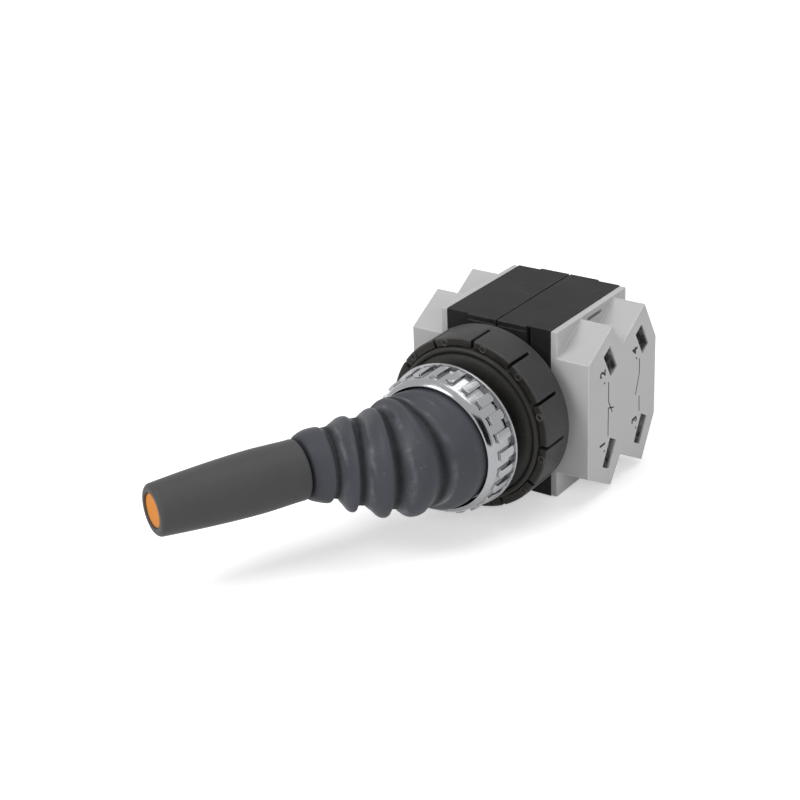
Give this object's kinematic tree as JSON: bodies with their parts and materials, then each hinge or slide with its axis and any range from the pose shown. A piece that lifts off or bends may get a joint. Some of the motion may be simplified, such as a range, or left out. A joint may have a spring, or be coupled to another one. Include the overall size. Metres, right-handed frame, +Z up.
{
  "type": "industrial joystick",
  "caption": "Panel joystick for a control panel: a bellows-covered lever stays left, centred or right, and contact blocks with slanted side terminal covers sit behind the panel.",
  "frame": {"origin": "centre of the gasket's front face, in the plane where the back of the panel lies", "axes": "-Y out of the panel towards the operator, +Y into the panel towards the contact blocks, +Z up, +X to the operator's right; the lever tilts in the XY plane and stands to -X at rest"},
  "size_m": [0.0729, 0.1365, 0.0486],
  "materials": {
    "black_plastic": "fine matt moulding",
    "dark_grey_plastic": "fine matt moulding",
    "light_grey_plastic": "satin moulding",
    "orange_plastic": "satin moulding",
    "red_plastic": "satin moulding",
    "rubber": "matt moulded rubber",
    "boot_rubber": "matt moulded rubber with a slight sheen",
    "chrome": "polished",
    "steel": "zinc plated",
    "brass": "bright drawn strip"
  },
  "bodies": {
    "base": {"operator_body": "black_plastic", "gasket": "rubber", "collar": "dark_grey_plastic", "ring_nut": "chrome", "coupling_plate": "black_plastic", "head_screws": "steel", "pivot_pin": "steel", "detent_spring": "steel", "boot": "boot_rubber", "return_spring_left": "steel", "return_spring_right": "steel", "case_left": "black_plastic", "case_right": "black_plastic", "frame_left": "black_plastic", "frame_right": "black_plastic", "cover_left": "light_grey_plastic", "cover_right": "light_grey_plastic", "terminals_left": "brass", "terminals_right": "brass", "wire_clamps_left": "steel", "wire_clamps_right": "steel", "terminal_screws_left": "steel", "terminal_screws_right": "steel", "block_screws": "steel"},
    "lever": {"lever_hub": "steel", "lever_rod": "steel", "lock_nut": "steel", "grip": "dark_grey_plastic", "grip_cap": "orange_plastic"},
    "slider_left": {"plunger_left": "black_plastic", "carriage_left": "red_plastic", "bridges_left": "brass", "contact_springs_left": "steel"},
    "slider_right": {"plunger_right": "black_plastic", "carriage_right": "red_plastic", "bridges_right": "brass", "contact_springs_right": "steel"}
  },
  "joints": [
    {"name": "lever_tilt", "type": "hinge", "parent": "base", "child": "lever", "pos_m": [0, 0.004, 0], "axis": [0, 0, 1], "range_deg": [0, 51], "deforming": ["boot", "detent_spring"]},
    {"name": "slide_left", "type": "slide", "parent": "base", "child": "slider_left", "axis": [0, 1, 0], "range_m": [-0.00499, 0], "deforming": ["return_spring_left"]},
    {"name": "slide_right", "type": "slide", "parent": "base", "child": "slider_right", "axis": [0, 1, 0], "range_m": [0, 0.00499], "deforming": ["return_spring_right"]}
  ],
  "couplings": [
    {"joint": "slide_left", "follows": "lever_tilt", "m_per_rad": -0.0056104},
    {"joint": "slide_right", "follows": "lever_tilt", "m_per_rad": 0.0056104}
  ]
}
